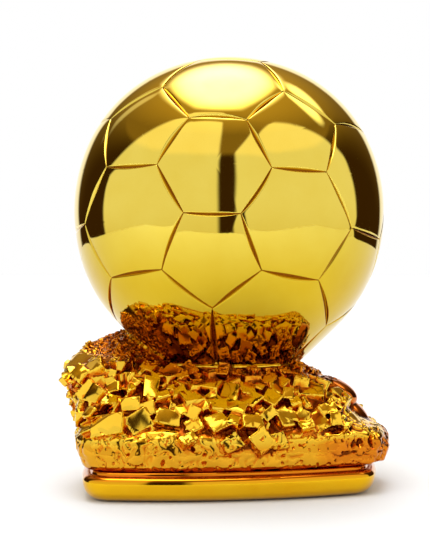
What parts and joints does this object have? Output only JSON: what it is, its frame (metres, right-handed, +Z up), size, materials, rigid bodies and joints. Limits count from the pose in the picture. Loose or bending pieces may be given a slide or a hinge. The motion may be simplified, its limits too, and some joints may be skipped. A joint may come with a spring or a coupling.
{
  "type": "football trophy",
  "caption": "Free-standing award: a plated football with carved seams on a craggy hollow rock base, over a rounded plinth with a ballast weight and a felt underside.",
  "frame": {"origin": "on the underside of the felt, directly below the centre of the ball", "axes": "+Z up along the centre rod, -Y towards the front, +X to the right as seen from the front"},
  "size_m": [0.1323, 0.131, 0.1783],
  "materials": {
    "gold_ball": "cast resin, electroplated mirror gold",
    "gold_rock": "cast resin with a craggy surface, electroplated gold",
    "gold_plinth": "cast resin, electroplated gold, slightly wavy",
    "bare_resin": "unplated cast resin",
    "insert_brass": "machined brass",
    "zinc_steel": "zinc-plated steel",
    "ballast_iron": "rough cast iron",
    "hardboard": "brown hardboard",
    "felt": "black wool felt"
  },
  "bodies": {
    "root": {"football_shell": "gold_ball", "neck_bead": "gold_rock", "rock_base": "gold_rock", "plinth": "gold_plinth", "ball_plug": "bare_resin", "threaded_insert": "insert_brass", "locating_pin": "zinc_steel", "centre_rod": "zinc_steel", "ballast_weight": "ballast_iron", "rod_washer": "zinc_steel", "rod_spring_washer": "zinc_steel", "rod_nut": "zinc_steel", "plinth_dowels": "zinc_steel", "bottom_board": "hardboard", "board_screws": "zinc_steel", "felt_pad": "felt"}
  },
  "joints": []
}
